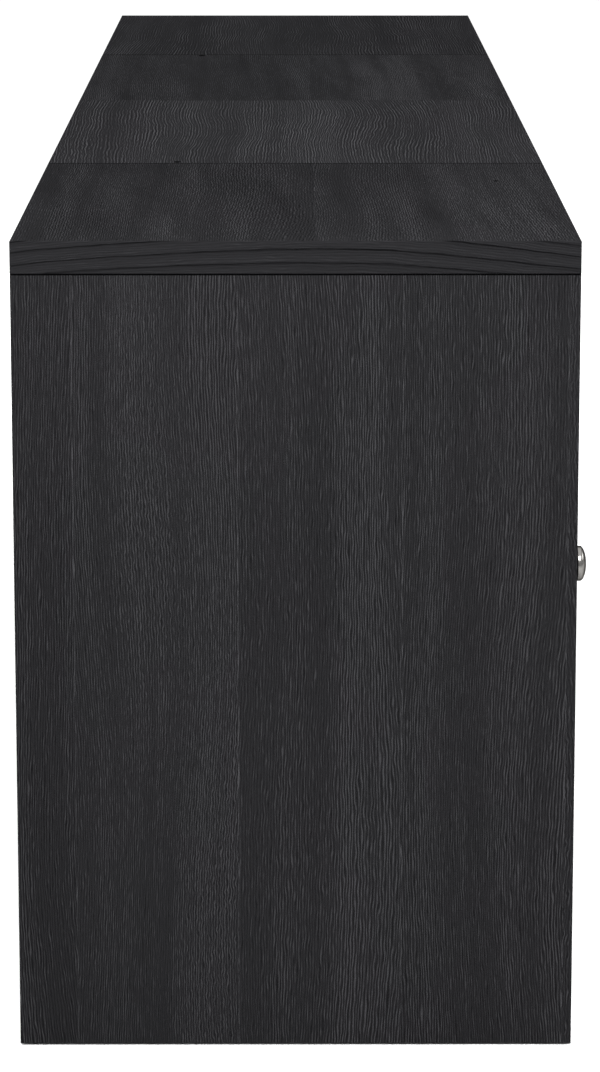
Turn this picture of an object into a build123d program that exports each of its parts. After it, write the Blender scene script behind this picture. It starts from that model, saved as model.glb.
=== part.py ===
"""Long low sideboard: four inset doors between full-depth end panels, under a thick top laid in four boards.

Millimetres. +X runs along the length, -Y is the front and +Z is up.
The origin is on the floor, in the middle of the space that the sideboard and its knobs take up.
"""
from build123d import *
import os

os.makedirs("parts", exist_ok=True)

# ------------------------------------------------------------------ driving dimensions
LENGTH, DEPTH, HEIGHT = 2100.0, 500.0, 740.0
TOP_T, END_T, BOTTOM_T, DIVIDER_T, SHELF_T = 30.0, 25.0, 20.0, 18.0, 18.0
RAIL_T, RAIL_W = 20.0, 80.0  # flat rails under the top
PLINTH_T, PLINTH_RECESS, REAR_PLINTH_FROM_BACK = 20.0, 40.0, 50.0
FLOOR_TO_BOTTOM = 30.0  # floor to the underside of the bottom panel
BACK_T, BACK_REBATE, BACK_PANEL_PLAY = 6.0, 8.0, 0.5
SHELF_BEHIND_FRAME, SHELF_BEFORE_BACK, SHELF_END_PLAY = 12.0, 4.0, 1.0
DOOR_T, DOOR_RECESS, DOOR_COUNT = 20.0, 1.0, 4
DOOR_TO_DIVIDER = 6.0
GAP_END, GAP_MEETING, GAP_EDGE = 3.0, 4.0, 3.0  # beside, between, and above and below the doors
SHORT_BOARD = 505.0  # the top alternates short and long boards, from the left end
ARRIS, SEAM_CHAMFER = 0.8, 1.6
SLIP = 0.05  # clearance round dowels, pins and screws

KNOB_R, KNOB_OUT, KNOB_HEAD_T, KNOB_CROWN = 17.0, 32.0, 14.5, 8.0
KNOB_NECK_R, KNOB_FOOT_R, KNOB_FOOT_T = 6.0, 8.0, 2.0
KNOB_SHOULDER, KNOB_RIM_ROLL, KNOB_RIM_EASE = 4.0, 3.0, 0.8  # how the head's edge rounds over

PIVOT_FROM_EDGE, PIVOT_FROM_FACE = 12.0, 6.0
PIN_R, PIN_IN_DOOR, PIN_END_ROOM = 2.5, 6.0, 0.5
WASHER_R, WASHER_PLAY = 4.5, 0.1
LEAF_W, LEAF_RUN, LEAF_T, LEAF_SCREWS = 10.0, 42.0, 2.5, (17.0, 34.0)

DOWEL_R, DOWEL_IN_FACE, DOWEL_IN_EDGE = 4.0, 12.0, 20.0
CAM_R, CAM_T, CAM_FROM_END, CAM_BELOW_BOLT = 7.5, 14.0, 34.0, 10.0
CROSS_L, CROSS_W, CROSS_DEEP = 8.0, 1.6, 1.5  # the driver slot of a cam
BOLT_R, BOLT_HEAD_R, BOLT_HEAD_L = 2.5, 3.4, 3.0
PEG_R, PEG_L, PEG_IN_WALL, PEG_PITCH, PEG_ROWS = 2.5, 17.0, 8.0, 32.0, 9
PEG_FROM_SHELF_EDGE, PEG_CHAMFER, DOWEL_CHAMFER = 45.0, 0.4, 0.6
GLIDE_R, GLIDE_T, GLIDE_NAIL_R, GLIDE_NAIL_L, GLIDE_NAIL_ROOM = 9.0, 1.5, 1.2, 12.0, 1.0
CATCH_W, CATCH_D, CATCH_H, CATCH_FROM_EDGE = 46.0, 18.0, 13.0, 50.0
CATCH_SCREW_OUT, CATCH_SCREW_FROM_BACK, PLATE_CORNER_R = 18.0, 6.0, 2.0
MAGNET_W, MAGNET_D, MAGNET_H = 32.0, 7.0, 8.0
STRIKE_W, STRIKE_H, STRIKE_T, STRIKE_GAP, STRIKE_SCREW_OUT = 38.0, 12.0, 1.2, 0.5, 13.0
SPLINE_T, SPLINE_W, SPLINE_SLOT_INSET, SPLINE_END_ROOM = 5.0, 24.0, 30.0, 1.0
METAL_EASE = 0.5  # chamfer on turned and moulded fittings

# screws: length, shank radius, head radius
SMALL_SCREW = (16.0, 1.5, 2.9)
CATCH_SCREW = (26.0, 1.5, 2.9)
LONG_SCREW = (34.0, 2.0, 3.9)
KNOB_SCREW = (32.0, 2.0, 4.0)
KNOB_SCREW_ROOM = 2.0  # the hole in a knob runs this far past its screw

LEFT, RIGHT, REARWARD, UP, DOWN = (-1, 0, 0), (1, 0, 0), (0, 1, 0), (0, 0, 1), (0, 0, -1)

# ------------------------------------------------------------------ worked-out places
FRONT = (KNOB_OUT - DOOR_RECESS - DEPTH) / 2  # front edge of the top and the end panels
BACK = FRONT + DEPTH
BACK_FACE = BACK - BACK_T
END_X = LENGTH / 2
INNER_X = END_X - END_T
TOP_Z = HEIGHT - TOP_T
RAIL_Z = TOP_Z - RAIL_T
INSIDE_Z = FLOOR_TO_BOTTOM + BOTTOM_T
DOOR_FRONT = FRONT + DOOR_RECESS
DOOR_BACK = DOOR_FRONT + DOOR_T
FRAME_FRONT = DOOR_BACK + DOOR_TO_DIVIDER  # front edges of the dividers and the front rail
DOOR_W = (2 * INNER_X - 2 * GAP_END - (DOOR_COUNT - 1) * GAP_MEETING) / DOOR_COUNT
DOOR_X0 = [-INNER_X + GAP_END + i * (DOOR_W + GAP_MEETING) for i in range(DOOR_COUNT)]
DOOR_Z0, DOOR_Z1 = INSIDE_Z + GAP_EDGE, TOP_Z - GAP_EDGE
DOOR_MID_Z = (DOOR_Z0 + DOOR_Z1) / 2
DIVIDER_X = [x0 - GAP_MEETING / 2 for x0 in DOOR_X0[1:]]
SEAM_X = [-END_X + SHORT_BOARD, 0.0, SHORT_BOARD]
BOARD_X = list(zip([-END_X] + SEAM_X, SEAM_X + [END_X]))
BAY_WALLS = [-INNER_X] + [x + side * DIVIDER_T / 2 for x in DIVIDER_X for side in (-1, 1)] + [INNER_X]
BAYS = list(zip(BAY_WALLS[0::2], BAY_WALLS[1::2]))

RAIL_Y = [(FRAME_FRONT, FRAME_FRONT + RAIL_W), (BACK_FACE - RAIL_W, BACK_FACE)]
PLINTH_Y = [(y0, y0 + PLINTH_T) for y0 in (FRONT + PLINTH_RECESS, BACK_FACE - REAR_PLINTH_FROM_BACK)]
SHELF_Y = (FRAME_FRONT + SHELF_BEHIND_FRAME, BACK_FACE - SHELF_BEFORE_BACK)
PEG_Y = (SHELF_Y[0] + PEG_FROM_SHELF_EDGE, SHELF_Y[1] - PEG_FROM_SHELF_EDGE)
PEG_HOLE_Z = [DOOR_MID_Z + PEG_PITCH * (row - PEG_ROWS // 2) for row in range(PEG_ROWS)]

# the two left doors hang on their left edges and the two right doors on their right edges
INWARD = (1, 1, -1, -1)
PIVOT_X = [
    x0 + PIVOT_FROM_EDGE if inward > 0 else x0 + DOOR_W - PIVOT_FROM_EDGE
    for x0, inward in zip(DOOR_X0, INWARD)
]
CATCH_X = [
    x0 + DOOR_W - CATCH_FROM_EDGE if inward > 0 else x0 + CATCH_FROM_EDGE
    for x0, inward in zip(DOOR_X0, INWARD)
]
PIVOT_Y = DOOR_FRONT + PIVOT_FROM_FACE
CATCH_FRONT = DOOR_BACK + STRIKE_T + STRIKE_GAP
CATCH_SCREW_Y = CATCH_FRONT + CATCH_D - CATCH_SCREW_FROM_BACK
CATCH_SCREW_X = [x + side * CATCH_SCREW_OUT for x in CATCH_X for side in (-1, 1)]

# ------------------------------------------------------------------ joinery shared by the boards and fittings
# how far each fixing stands in from the front, the back or the end of its board
BOTTOM_DOWEL_IN, BOTTOM_BOLT_IN = (80.0, 70.0), (120.0, 110.0)
RAIL_DOWEL_IN, RAIL_BOLT_IN = 20.0, 56.0
END_DOWEL_IN, DIVIDER_SCREW_IN, TOP_SCREW_IN = 60.0, 70.0, 130.0
BACK_SCREW_FROM_FLOOR_PANEL, BACK_SCREW_FROM_TOP, BACK_SCREW_FROM_EDGE = 40.0, 50.0, 5.0
END_GLIDE_IN, PLINTH_GLIDE_X = 40.0, 600.0
BOTTOM_MID_Z = FLOOR_TO_BOTTOM + BOTTOM_T / 2
RAIL_MID_Z = TOP_Z - RAIL_T / 2
PLINTH_MID_Z = (GLIDE_T + FLOOR_TO_BOTTOM) / 2
BOTTOM_DOWELS = [(y, BOTTOM_MID_Z) for y in (FRONT + BOTTOM_DOWEL_IN[0], 0, BACK_FACE - BOTTOM_DOWEL_IN[1])]
RAIL_DOWELS = [(y0 + RAIL_DOWEL_IN, RAIL_MID_Z) for y0, _ in RAIL_Y]
PLINTH_DOWELS = [((y0 + y1) / 2, PLINTH_MID_Z) for y0, y1 in PLINTH_Y]
BOTTOM_BOLTS = [(y, BOTTOM_MID_Z) for y in (FRONT + BOTTOM_BOLT_IN[0], BACK_FACE - BOTTOM_BOLT_IN[1])]
RAIL_BOLTS = [(y0 + RAIL_BOLT_IN, RAIL_MID_Z) for y0, _ in RAIL_Y]
END_MID_X = [side * (END_X - END_T / 2) for side in (-1, 1)]
END_TOP_DOWEL_Y = (FRONT + END_DOWEL_IN, 0, BACK - END_DOWEL_IN)
PLINTH_UP_DOWEL_X = (-900, -450, 0, 450, 900)
DIVIDER_SCREW_Y = (FRAME_FRONT + DIVIDER_SCREW_IN, BACK_FACE - DIVIDER_SCREW_IN)
RAIL_SCREW_Y = [(y0 + y1) / 2 for y0, y1 in RAIL_Y]
TOP_SCREW_X = [x for x0, x1 in BOARD_X for x in (x0 + TOP_SCREW_IN, x1 - TOP_SCREW_IN)]
BACK_SCREW_Z = (INSIDE_Z + BACK_SCREW_FROM_FLOOR_PANEL, DOOR_MID_Z, TOP_Z - BACK_SCREW_FROM_TOP)
END_BACK_SCREW_X = INNER_X + BACK_REBATE / 2
BACK_SCREW_X = [-END_BACK_SCREW_X, DIVIDER_X[0], -BACK_SCREW_FROM_EDGE, BACK_SCREW_FROM_EDGE]
BACK_SCREW_X += [DIVIDER_X[2], END_BACK_SCREW_X]
GLIDE_SPOTS = [(x, y) for x in END_MID_X for y in (FRONT + END_GLIDE_IN, BACK - END_GLIDE_IN)]
GLIDE_SPOTS += [(x, (y0 + y1) / 2) for x in (-PLINTH_GLIDE_X, 0, PLINTH_GLIDE_X) for y0, y1 in PLINTH_Y]


# ------------------------------------------------------------------ shared steps
def board(x, y, z, mode=Mode.ADD):
    """A rectangular board, or with Mode.SUBTRACT a rectangular recess, between limits along each axis."""
    with BuildSketch(Plane.XY.offset(z[0])) as outline:
        with Locations((sum(x) / 2, sum(y) / 2)):
            Rectangle(x[1] - x[0], y[1] - y[0])
    extrude(outline.sketch, amount=z[1] - z[0], mode=mode)


def looking(toward, points):
    """A place at each point, with its own Z looking toward."""
    return [Plane(origin=point, z_dir=toward) for point in points]


def bore(toward, points, radius, depth):
    """Blind holes into the face that looks toward."""
    with Locations(*looking(toward, points)):
        Hole(radius, depth)


def screw_holes(toward, points, size):
    """Countersunk holes that take a screw of that size with its head flush."""
    length, shank_r, head_r = size
    with Locations(*looking(toward, points)):
        CounterSinkHole(shank_r + SLIP, head_r + SLIP, depth=length + SLIP, counter_sink_angle=90)


def end_holes(side, spots, radius, depth):
    """Holes into the end of a long board; side is -1 for its left end and 1 for its right."""
    bore((side, 0, 0), [(side * INNER_X, y, z) for y, z in spots], radius, depth)


def countersunk_screw(size):
    """A screw along -Z with its head's flat face at the origin, and a cross recess."""
    length, shank_r, head_r = size
    head_t = head_r - shank_r
    with BuildPart() as screw:
        with BuildSketch(Plane.XZ):
            with BuildLine():
                Polyline(
                    (0, 0),
                    (head_r, 0),
                    (shank_r, -head_t),
                    (shank_r, 2 * shank_r - length),
                    (0, -length),
                    close=True,
                )
            make_face()
        revolve(axis=Axis.Z)
        with BuildSketch(Plane.XY):
            Rectangle(1.2 * head_r, 0.28 * head_r)
            Rectangle(0.28 * head_r, 1.2 * head_r)
        extrude(amount=-0.5 * head_t, mode=Mode.SUBTRACT)
    return screw.part


def peg(radius, length, chamfer_by):
    """A round peg along Z, centred on the origin, with chamfered ends."""
    with BuildPart() as piece:
        Cylinder(radius, length)
        chamfer(piece.edges().filter_by(GeomType.CIRCLE), chamfer_by)
    return piece.part


def place(piece, toward, points):
    """Copies of a piece in the part being built, each with its own Z looking toward."""
    with Locations(*looking(toward, points)):
        add(piece)


def cam_fittings(end_spots):
    """Side, y and z of the bolt and cam pairs at both ends of a board."""
    return [(side, y, z) for side in (-1, 1) for y, z in end_spots]


def cam_pockets(spots):
    """The pockets in a board's underside for its cams, and the bolt holes that meet them."""
    for side in (-1, 1):
        end_holes(side, spots, BOLT_HEAD_R + SLIP, CAM_FROM_END)
    places = [(side * (INNER_X - CAM_FROM_END), y, z - CAM_BELOW_BOLT) for side, y, z in cam_fittings(spots)]
    bore(DOWN, places, CAM_R + SLIP, CAM_T)


def leaf_outline(door, plane):
    """A pivot leaf in plan: round about its pin, square at the end nearer the door's middle."""
    run = INWARD[door] * LEAF_RUN
    with BuildSketch(plane) as outline:
        with Locations((PIVOT_X[door], PIVOT_Y)):
            Circle(LEAF_W / 2)
        with Locations((PIVOT_X[door] + run / 2, PIVOT_Y)):
            Rectangle(LEAF_RUN, LEAF_W)
    return outline.sketch


def leaf_screw_points(door, z):
    return [(PIVOT_X[door] + INWARD[door] * along, PIVOT_Y, z) for along in LEAF_SCREWS]


# ------------------------------------------------------------------ end panels
for side, end in ((-1, "left"), (1, "right")):
    inward = (-side, 0, 0)
    inner_face = side * INNER_X
    with BuildPart() as end_panel:
        board(sorted((side * END_X, inner_face)), (FRONT, BACK), (GLIDE_T, TOP_Z))
        outer_face = end_panel.faces().filter_by(Axis.X).sort_by(Axis.X)[-1 if side > 0 else 0]
        chamfer(outer_face.edges(), ARRIS)
        board(
            sorted((inner_face, inner_face + side * BACK_REBATE)),
            (BACK_FACE, BACK),
            (FLOOR_TO_BOTTOM, TOP_Z),
            Mode.SUBTRACT,
        )
        dowels = [(inner_face, y, z) for y, z in BOTTOM_DOWELS + RAIL_DOWELS + PLINTH_DOWELS]
        bore(inward, dowels, DOWEL_R + SLIP, DOWEL_IN_FACE + SLIP)
        bolts = [(inner_face, y, z) for y, z in BOTTOM_BOLTS + RAIL_BOLTS]
        bore(inward, bolts, BOLT_R + SLIP, DOWEL_IN_FACE + SLIP)
        peg_holes = [(inner_face, y, z) for y in PEG_Y for z in PEG_HOLE_Z]
        bore(inward, peg_holes, PEG_R + SLIP, PEG_IN_WALL + SLIP)
        mid_x = side * (END_X - END_T / 2)
        bore(UP, [(mid_x, y, TOP_Z) for y in END_TOP_DOWEL_Y], DOWEL_R + SLIP, DOWEL_IN_EDGE + SLIP)
        glides = [(x, y, GLIDE_T) for x, y in GLIDE_SPOTS if x == mid_x]
        bore(DOWN, glides, GLIDE_NAIL_R + SLIP, GLIDE_NAIL_L + GLIDE_NAIL_ROOM)
        screw_holes(REARWARD, [(side * END_BACK_SCREW_X, BACK, z) for z in BACK_SCREW_Z], SMALL_SCREW)
    end_panel.part.label = f"{end}_end_panel"
    export_step(end_panel.part, f"parts/{end}_end_panel.step")

# ------------------------------------------------------------------ bottom panel
with BuildPart() as bottom_panel:
    board((-INNER_X, INNER_X), (DOOR_FRONT, BACK_FACE), (FLOOR_TO_BOTTOM, INSIDE_Z))
    chamfer(bottom_panel.edges().filter_by(Axis.X).group_by(Axis.Y)[0], ARRIS)
    cam_pockets(BOTTOM_BOLTS)
    for side in (-1, 1):
        end_holes(side, BOTTOM_DOWELS, DOWEL_R + SLIP, DOWEL_IN_EDGE + SLIP)
    spots = [(x, (y0 + y1) / 2, FLOOR_TO_BOTTOM) for x in PLINTH_UP_DOWEL_X for y0, y1 in PLINTH_Y]
    bore(DOWN, spots, DOWEL_R + SLIP, DOWEL_IN_FACE + SLIP)
    spots = [(x, y, FLOOR_TO_BOTTOM) for x in DIVIDER_X for y in DIVIDER_SCREW_Y]
    screw_holes(DOWN, spots, LONG_SCREW)
    for door in range(DOOR_COUNT):
        recess = leaf_outline(door, Plane.XY.offset(INSIDE_Z))
        extrude(recess, amount=-LEAF_T, mode=Mode.SUBTRACT)
        screw_holes(UP, leaf_screw_points(door, INSIDE_Z), SMALL_SCREW)
bottom_panel.part.label = "bottom_panel"
export_step(bottom_panel.part, "parts/bottom_panel.step")

# ------------------------------------------------------------------ dividers
for number, mid in enumerate(DIVIDER_X, 1):
    with BuildPart() as divider:
        sides = (mid - DIVIDER_T / 2, mid + DIVIDER_T / 2)
        board(sides, (FRAME_FRONT, BACK_FACE), (INSIDE_Z, TOP_Z))
        for rail_y in RAIL_Y:
            board(sides, rail_y, (RAIL_Z, TOP_Z), Mode.SUBTRACT)
        peg_holes = [(y, z) for y in PEG_Y for z in PEG_HOLE_Z]
        for x, toward in zip(sides, (LEFT, RIGHT)):
            bore(toward, [(x, y, z) for y, z in peg_holes], PEG_R + SLIP, PEG_IN_WALL + SLIP)
        screw_holes(DOWN, [(mid, y, FLOOR_TO_BOTTOM) for y in DIVIDER_SCREW_Y], LONG_SCREW)
        screw_holes(UP, [(mid, y, TOP_Z) for y in RAIL_SCREW_Y], LONG_SCREW)
        spots = [(x, BACK, z) for x in BACK_SCREW_X if abs(x - mid) < DIVIDER_T / 2 for z in BACK_SCREW_Z]
        screw_holes(REARWARD, spots, SMALL_SCREW)
    divider.part.label = f"divider_{number}"
    export_step(divider.part, f"parts/divider_{number}.step")

# ------------------------------------------------------------------ rails under the top
for name, rail_y, screw_y in zip(("front_rail", "rear_rail"), RAIL_Y, RAIL_SCREW_Y):
    dowels = [spot for spot in RAIL_DOWELS if rail_y[0] < spot[0] < rail_y[1]]
    bolts = [spot for spot in RAIL_BOLTS if rail_y[0] < spot[0] < rail_y[1]]
    with BuildPart() as rail:
        board((-INNER_X, INNER_X), rail_y, (RAIL_Z, TOP_Z))
        cam_pockets(bolts)
        for side in (-1, 1):
            end_holes(side, dowels, DOWEL_R + SLIP, DOWEL_IN_EDGE + SLIP)
        screw_holes(UP, [(x, screw_y, TOP_Z) for x in DIVIDER_X], LONG_SCREW)
        screw_holes(DOWN, [(x, screw_y, RAIL_Z) for x in TOP_SCREW_X], LONG_SCREW)
        if name == "front_rail":
            screw_holes(DOWN, [(x, CATCH_SCREW_Y, RAIL_Z - CATCH_H) for x in CATCH_SCREW_X], CATCH_SCREW)
    rail.part.label = name
    export_step(rail.part, f"parts/{name}.step")

# ------------------------------------------------------------------ plinth boards, under the bottom panel
for name, plinth_y, end_spot in zip(("front_plinth", "rear_plinth"), PLINTH_Y, PLINTH_DOWELS):
    mid_y = sum(plinth_y) / 2
    with BuildPart() as plinth:
        board((-INNER_X, INNER_X), plinth_y, (GLIDE_T, FLOOR_TO_BOTTOM))
        for side in (-1, 1):
            end_holes(side, [end_spot], DOWEL_R + SLIP, DOWEL_IN_EDGE + SLIP)
        dowel_holes = [(x, mid_y, FLOOR_TO_BOTTOM) for x in PLINTH_UP_DOWEL_X]
        bore(UP, dowel_holes, DOWEL_R + SLIP, DOWEL_IN_FACE + SLIP)
        glides = [(x, y, GLIDE_T) for x, y in GLIDE_SPOTS if y == mid_y]
        bore(DOWN, glides, GLIDE_NAIL_R + SLIP, GLIDE_NAIL_L + GLIDE_NAIL_ROOM)
    plinth.part.label = name
    export_step(plinth.part, f"parts/{name}.step")

# ------------------------------------------------------------------ top boards, with a V groove at each seam
for number, (x0, x1) in enumerate(BOARD_X, 1):
    at_left_end, at_right_end = x0 == -END_X, x1 == END_X
    with BuildPart() as top_board:
        board((x0, x1), (FRONT, BACK), (TOP_Z, HEIGHT))
        chamfer(top_board.edges().filter_by(Axis.X), ARRIS)
        upper_ends = top_board.edges().filter_by(Axis.Y).group_by(Axis.Z)[-1].sort_by(Axis.X)
        chamfer(upper_ends[0], ARRIS if at_left_end else SEAM_CHAMFER)
        chamfer(upper_ends[-1], ARRIS if at_right_end else SEAM_CHAMFER)
        lower_ends = top_board.edges().filter_by(Axis.Y).group_by(Axis.Z)[0].sort_by(Axis.X)
        if at_left_end:
            chamfer(lower_ends[0], ARRIS)
        if at_right_end:
            chamfer(lower_ends[-1], ARRIS)
        mid_z = (TOP_Z + HEIGHT) / 2
        for seam in (x for x in (x0, x1) if x in SEAM_X):
            slot_x = (max(x0, seam - SPLINE_W / 2 - SLIP), min(x1, seam + SPLINE_W / 2 + SLIP))
            slot_z = (mid_z - SPLINE_T / 2 - SLIP, mid_z + SPLINE_T / 2 + SLIP)
            board(slot_x, (FRONT + SPLINE_SLOT_INSET, BACK - SPLINE_SLOT_INSET), slot_z, Mode.SUBTRACT)
        spots = [(x, y, RAIL_Z) for x in TOP_SCREW_X if x0 < x < x1 for y in RAIL_SCREW_Y]
        screw_holes(DOWN, spots, LONG_SCREW)
        spots = [(x, y, TOP_Z) for x in END_MID_X if x0 < x < x1 for y in END_TOP_DOWEL_Y]
        if spots:
            bore(DOWN, spots, DOWEL_R + SLIP, DOWEL_IN_FACE + SLIP)
        for door in (i for i in range(DOOR_COUNT) if x0 < PIVOT_X[i] < x1):
            recess = leaf_outline(door, Plane.XY.offset(TOP_Z))
            extrude(recess, amount=LEAF_T, mode=Mode.SUBTRACT)
            screw_holes(DOWN, leaf_screw_points(door, TOP_Z), SMALL_SCREW)
    top_board.part.label = f"top_board_{number}"
    export_step(top_board.part, f"parts/top_board_{number}.step")

spline_inset = SPLINE_SLOT_INSET + SPLINE_END_ROOM
with BuildPart() as top_splines:
    for seam in SEAM_X:
        slot_z = ((TOP_Z + HEIGHT - SPLINE_T) / 2, (TOP_Z + HEIGHT + SPLINE_T) / 2)
        board((seam - SPLINE_W / 2, seam + SPLINE_W / 2), (FRONT + spline_inset, BACK - spline_inset), slot_z)
top_splines.part.label = "top_splines"
export_step(top_splines.part, "parts/top_splines.step")

# ------------------------------------------------------------------ back panels, in the end panels' rebates
BACK_PANELS = {
    "back_panel_left": (BACK_PANEL_PLAY - INNER_X - BACK_REBATE, -BACK_PANEL_PLAY),
    "back_panel_right": (BACK_PANEL_PLAY, INNER_X + BACK_REBATE - BACK_PANEL_PLAY),
}
for name, limits in BACK_PANELS.items():
    with BuildPart() as back_panel:
        board(limits, (BACK_FACE, BACK), (FLOOR_TO_BOTTOM, TOP_Z))
        spots = [(x, BACK, z) for x in BACK_SCREW_X if limits[0] < x < limits[1] for z in BACK_SCREW_Z]
        screw_holes(REARWARD, spots, SMALL_SCREW)
    back_panel.part.label = name
    export_step(back_panel.part, f"parts/{name}.step")

# ------------------------------------------------------------------ shelves, resting on their pegs
for number, (x0, x1) in enumerate(BAYS, 1):
    with BuildPart() as shelf:
        shelf_x = (x0 + SHELF_END_PLAY, x1 - SHELF_END_PLAY)
        board(shelf_x, SHELF_Y, (DOOR_MID_Z + PEG_R, DOOR_MID_Z + PEG_R + SHELF_T))
        chamfer(shelf.edges().filter_by(Axis.X).group_by(Axis.Y)[0], ARRIS)
    shelf.part.label = f"shelf_{number}"
    export_step(shelf.part, f"parts/shelf_{number}.step")

shelf_peg = peg(PEG_R, PEG_L, PEG_CHAMFER)
peg_out = PEG_L / 2 - PEG_IN_WALL  # a peg's middle stands this far out of its wall
PEG_X = [x for x0, x1 in BAYS for x in (x0 + peg_out, x1 - peg_out)]
with BuildPart() as shelf_pegs:
    place(shelf_peg, RIGHT, [(x, y, DOOR_MID_Z) for x in PEG_X for y in PEG_Y])
shelf_pegs.part.label = "shelf_pegs"
export_step(shelf_pegs.part, "parts/shelf_pegs.step")

# ------------------------------------------------------------------ dowels and cam fittings
end_dowel = peg(DOWEL_R, DOWEL_IN_FACE + DOWEL_IN_EDGE, DOWEL_CHAMFER)
plinth_dowel = peg(DOWEL_R, 2 * DOWEL_IN_FACE, DOWEL_CHAMFER)
# a dowel's middle is this far inside the thinner board's edge
from_face = (DOWEL_IN_EDGE - DOWEL_IN_FACE) / 2
with BuildPart() as dowels:
    for side in (-1, 1):
        spots = BOTTOM_DOWELS + RAIL_DOWELS + PLINTH_DOWELS
        place(end_dowel, RIGHT, [(side * (INNER_X - from_face), y, z) for y, z in spots])
    place(end_dowel, UP, [(x, y, TOP_Z - from_face) for x in END_MID_X for y in END_TOP_DOWEL_Y])
    spots = [(x, (y0 + y1) / 2, FLOOR_TO_BOTTOM) for x in PLINTH_UP_DOWEL_X for y0, y1 in PLINTH_Y]
    place(plinth_dowel, UP, spots)
dowels.part.label = "dowels"
export_step(dowels.part, "parts/dowels.step")

with BuildPart() as cam_bolt:
    with BuildSketch():
        Circle(BOLT_R)
    extrude(amount=DOWEL_IN_FACE)
    with BuildSketch():
        Circle(BOLT_R)
    extrude(amount=-CAM_FROM_END)
    with BuildSketch(Plane.XY.offset(BOLT_HEAD_L - CAM_FROM_END)):
        Circle(BOLT_HEAD_R)
    extrude(amount=-BOLT_HEAD_L)
with BuildPart() as cam_bolts:
    for side in (-1, 1):
        spots = [(side * INNER_X, y, z) for y, z in BOTTOM_BOLTS + RAIL_BOLTS]
        place(cam_bolt.part, (side, 0, 0), spots)
cam_bolts.part.label = "cam_bolts"
export_step(cam_bolts.part, "parts/cam_bolts.step")

with BuildPart() as cam_lock:
    with BuildSketch():
        Circle(CAM_R)
    extrude(amount=CAM_T)
    chamfer(cam_lock.edges().filter_by(GeomType.CIRCLE).group_by(Axis.Z)[0], METAL_EASE)
    with BuildSketch():
        Rectangle(CROSS_L, CROSS_W)
        Rectangle(CROSS_W, CROSS_L)
    extrude(amount=CROSS_DEEP, mode=Mode.SUBTRACT)
    for x, toward in ((CAM_R, RIGHT), (-CAM_R, LEFT)):
        bore(toward, [(x, 0, CAM_BELOW_BOLT)], BOLT_HEAD_R + SLIP, CAM_R + BOLT_HEAD_L)
with BuildPart() as cam_locks:
    for side, y, z in cam_fittings(BOTTOM_BOLTS + RAIL_BOLTS):
        with Locations((side * (INNER_X - CAM_FROM_END), y, z - CAM_BELOW_BOLT)):
            add(cam_lock.part)
cam_locks.part.label = "cam_locks"
export_step(cam_locks.part, "parts/cam_locks.step")

# ------------------------------------------------------------------ screws in the carcass
long_screw = countersunk_screw(LONG_SCREW)
small_screw = countersunk_screw(SMALL_SCREW)
catch_screw = countersunk_screw(CATCH_SCREW)

with BuildPart() as divider_screws:
    place(long_screw, DOWN, [(x, y, FLOOR_TO_BOTTOM) for x in DIVIDER_X for y in DIVIDER_SCREW_Y])
    place(long_screw, UP, [(x, y, TOP_Z) for x in DIVIDER_X for y in RAIL_SCREW_Y])
divider_screws.part.label = "divider_screws"
export_step(divider_screws.part, "parts/divider_screws.step")

with BuildPart() as top_screws:
    place(long_screw, DOWN, [(x, y, RAIL_Z) for x in TOP_SCREW_X for y in RAIL_SCREW_Y])
top_screws.part.label = "top_screws"
export_step(top_screws.part, "parts/top_screws.step")

with BuildPart() as back_screws:
    place(small_screw, REARWARD, [(x, BACK, z) for x in BACK_SCREW_X for z in BACK_SCREW_Z])
back_screws.part.label = "back_screws"
export_step(back_screws.part, "parts/back_screws.step")

# ------------------------------------------------------------------ floor glides
with BuildPart() as glide:
    with BuildSketch():
        Circle(GLIDE_R)
    extrude(amount=GLIDE_T)
    chamfer(glide.edges().group_by(Axis.Z)[0], METAL_EASE)
    with BuildSketch(Plane.XY.offset(GLIDE_T)):
        Circle(GLIDE_NAIL_R)
    extrude(amount=GLIDE_NAIL_L)
with BuildPart() as floor_glides:
    with Locations(*GLIDE_SPOTS):
        add(glide.part)
floor_glides.part.label = "floor_glides"
export_step(floor_glides.part, "parts/floor_glides.step")

# ------------------------------------------------------------------ magnetic catches under the front rail
CATCH_Y = (CATCH_FRONT, CATCH_FRONT + CATCH_D)
CATCH_Z = (RAIL_Z - CATCH_H, RAIL_Z)
CATCH_MID_Z = sum(CATCH_Z) / 2
MAGNET_Z = (CATCH_MID_Z - MAGNET_H / 2, CATCH_MID_Z + MAGNET_H / 2)

with BuildPart() as catch_housings:
    for x in CATCH_X:
        board((x - CATCH_W / 2, x + CATCH_W / 2), CATCH_Y, CATCH_Z)
    fillet(catch_housings.edges().filter_by(Axis.Y).group_by(Axis.Z)[0], PLATE_CORNER_R)
    for x in CATCH_X:
        slot_y = (CATCH_Y[0], CATCH_Y[0] + MAGNET_D)
        board((x - MAGNET_W / 2, x + MAGNET_W / 2), slot_y, MAGNET_Z, Mode.SUBTRACT)
    screw_holes(DOWN, [(x, CATCH_SCREW_Y, CATCH_Z[0]) for x in CATCH_SCREW_X], CATCH_SCREW)
catch_housings.part.label = "catch_housings"
export_step(catch_housings.part, "parts/catch_housings.step")

with BuildPart() as catch_magnets:
    for x in CATCH_X:
        board((x - MAGNET_W / 2, x + MAGNET_W / 2), (CATCH_Y[0], CATCH_Y[0] + MAGNET_D), MAGNET_Z)
catch_magnets.part.label = "catch_magnets"
export_step(catch_magnets.part, "parts/catch_magnets.step")

with BuildPart() as catch_screws:
    place(catch_screw, DOWN, [(x, CATCH_SCREW_Y, CATCH_Z[0]) for x in CATCH_SCREW_X])
catch_screws.part.label = "catch_screws"
export_step(catch_screws.part, "parts/catch_screws.step")

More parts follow.
